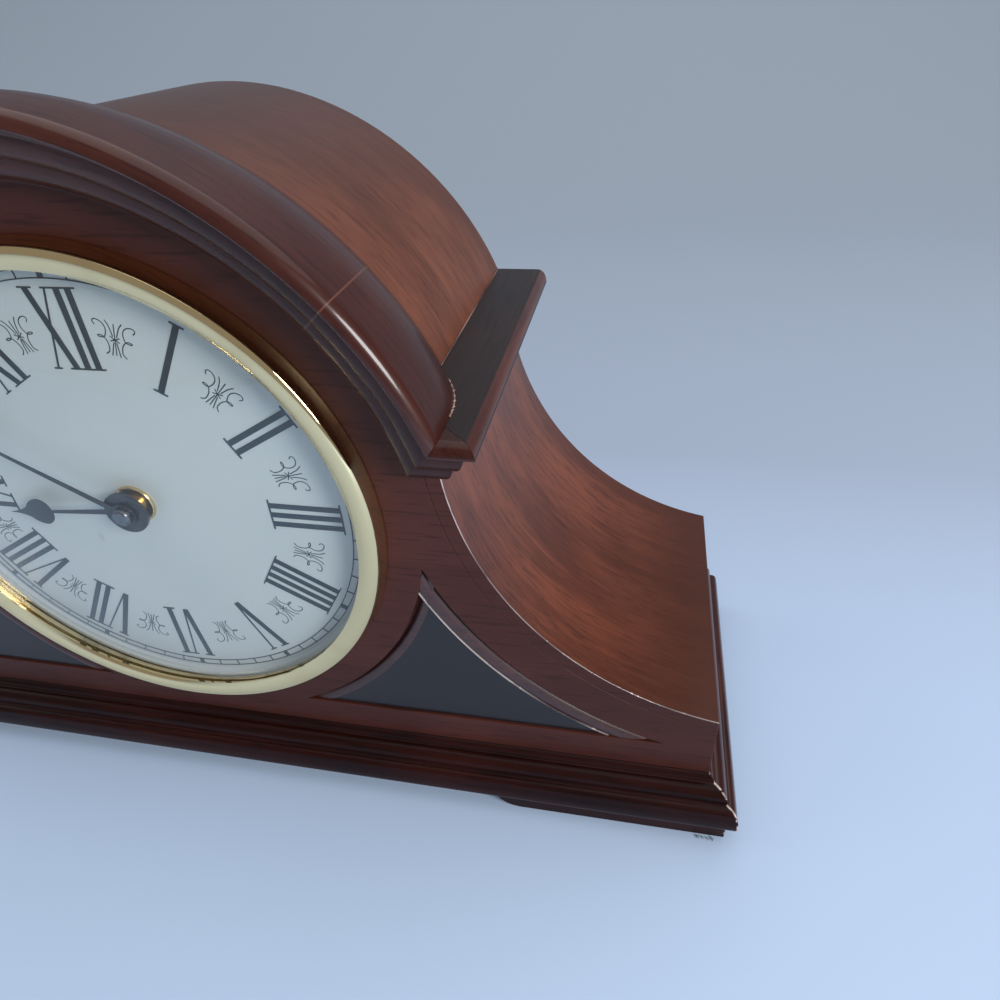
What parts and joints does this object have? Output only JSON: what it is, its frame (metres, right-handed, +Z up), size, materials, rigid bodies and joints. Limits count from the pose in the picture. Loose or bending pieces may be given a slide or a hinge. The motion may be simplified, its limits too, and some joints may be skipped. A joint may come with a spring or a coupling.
{
  "type": "mantel clock",
  "caption": "Tambour mantel clock: humped wooden case on bracket feet, arched crown moulding, hinged brass bezel with domed glass, white Roman dial and arched back door.",
  "frame": {"origin": "Middle of the case's plan at the underside of the felt pads", "axes": "+X right seen from the front, +Y to the back, +Z up; the dial faces -Y"},
  "size_m": [0.4238, 0.1402, 0.2542],
  "materials": {
    "mahogany": "polished dark lacquer",
    "veneer": "satin lacquer",
    "black_inlay": "satin black",
    "backboard": "plain",
    "felt": "felt",
    "brass": "polished",
    "steel": "plain",
    "glass": "clear",
    "dial_white": "satin white",
    "dial_ink": "satin print",
    "black_hands": "satin black",
    "black_plastic": "fine grain",
    "circuit": "solder mask",
    "coil_wire": "enamelled wire",
    "cell_jacket": "printed film",
    "speaker_paper": "paper"
  },
  "bodies": {
    "case": {"front_panel": "mahogany", "bottom_board": "backboard", "base_moulding_front": "mahogany", "base_moulding_left": "mahogany", "base_moulding_right": "mahogany", "arch_cover": "veneer", "shoulder_cover_left": "veneer", "shoulder_cover_right": "veneer", "end_block_left": "veneer", "end_block_right": "veneer", "crown_moulding": "mahogany", "ear_moulding_left": "mahogany", "ear_moulding_right": "mahogany", "ledge_left": "mahogany", "ledge_right": "mahogany", "inlay_frame_left": "mahogany", "inlay_frame_right": "mahogany", "inlay_panel_left": "black_inlay", "inlay_panel_right": "black_inlay", "bracket_feet": "mahogany", "felt_pads": "felt", "back_panel": "backboard", "back_panel_screws": "steel", "door_magnet": "steel", "door_hinges": "brass", "dial_board": "backboard", "dial_plate": "dial_white", "dial_numerals": "dial_ink", "minute_track": "dial_ink", "movement_case": "black_plastic", "movement_cover": "black_plastic", "movement_screws": "steel", "centre_bush": "brass", "bush_nut": "brass", "circuit_board": "circuit", "motor_stator": "steel", "motor_coil": "coil_wire", "battery_pair": "cell_jacket", "battery_contacts": "steel", "bezel_hinge": "brass", "speaker_frame": "steel", "speaker_cone": "speaker_paper", "speaker_magnet": "steel"},
    "bezel": {"bezel_ring": "brass", "bezel_glass": "glass", "glass_gasket": "brass"},
    "door": {"back_door": "backboard", "door_knob": "brass", "door_hinge_leaves": "brass"},
    "minute_arbor": {"minute_hand": "black_hands", "cannon_pinion": "brass", "hand_nut": "brass"},
    "hour_pipe": {"hour_hand": "black_hands", "hour_wheel": "brass"},
    "motion_wheel": {"minute_wheel": "brass"},
    "setting": {"set_knob": "black_plastic"},
    "volume": {"volume_knob": "black_plastic"},
    "selector": {"chime_selector": "black_plastic"},
    "rotor": {"motor_rotor": "steel"},
    "train": {"second_wheel": "brass"}
  },
  "joints": [
    {"name": "bezel_swing", "type": "hinge", "parent": "case", "child": "bezel", "pos_m": [-0.0916, -0.0536, 0.132], "axis": [0, 0, -1], "range_deg": [0, 90]},
    {"name": "door_swing", "type": "hinge", "parent": "case", "child": "door", "pos_m": [-0.0783, 0.0681, 0.086], "axis": [0, 0, 1], "range_deg": [0, 110]},
    {"name": "minute_turn", "type": "hinge", "parent": "case", "child": "minute_arbor", "pos_m": [0, -0.036, 0.132], "axis": [0, 1, 0], "continuous": true},
    {"name": "hour_turn", "type": "hinge", "parent": "case", "child": "hour_pipe", "pos_m": [0, -0.039, 0.132], "axis": [0, 1, 0], "continuous": true},
    {"name": "motion_turn", "type": "hinge", "parent": "case", "child": "motion_wheel", "pos_m": [0, -0.037, 0.142], "axis": [0, 1, 0], "continuous": true},
    {"name": "set_turn", "type": "hinge", "parent": "case", "child": "setting", "pos_m": [0, -0.02, 0.152], "axis": [0, 1, 0], "continuous": true},
    {"name": "volume_turn", "type": "hinge", "parent": "case", "child": "volume", "pos_m": [-0.02, -0.018, 0.124], "axis": [0, 1, 0], "range_deg": [-135, 135]},
    {"name": "selector_slide", "type": "slide", "parent": "case", "child": "selector", "axis": [1, 0, 0], "range_m": [-0.004, 0.004]},
    {"name": "rotor_turn", "type": "hinge", "parent": "case", "child": "rotor", "pos_m": [-0.03, -0.035, 0.146], "axis": [0, 1, 0], "continuous": true},
    {"name": "train_turn", "type": "hinge", "parent": "case", "child": "train", "pos_m": [-0.0228, -0.0377, 0.146], "axis": [0, 1, 0], "continuous": true}
  ],
  "couplings": [
    {"joint": "hour_turn", "follows": "minute_turn", "ratio": 0.083333},
    {"joint": "motion_turn", "follows": "minute_turn", "ratio": -0.33333},
    {"joint": "set_turn", "follows": "minute_turn", "ratio": 1},
    {"joint": "train_turn", "follows": "rotor_turn", "ratio": -0.2}
  ]
}
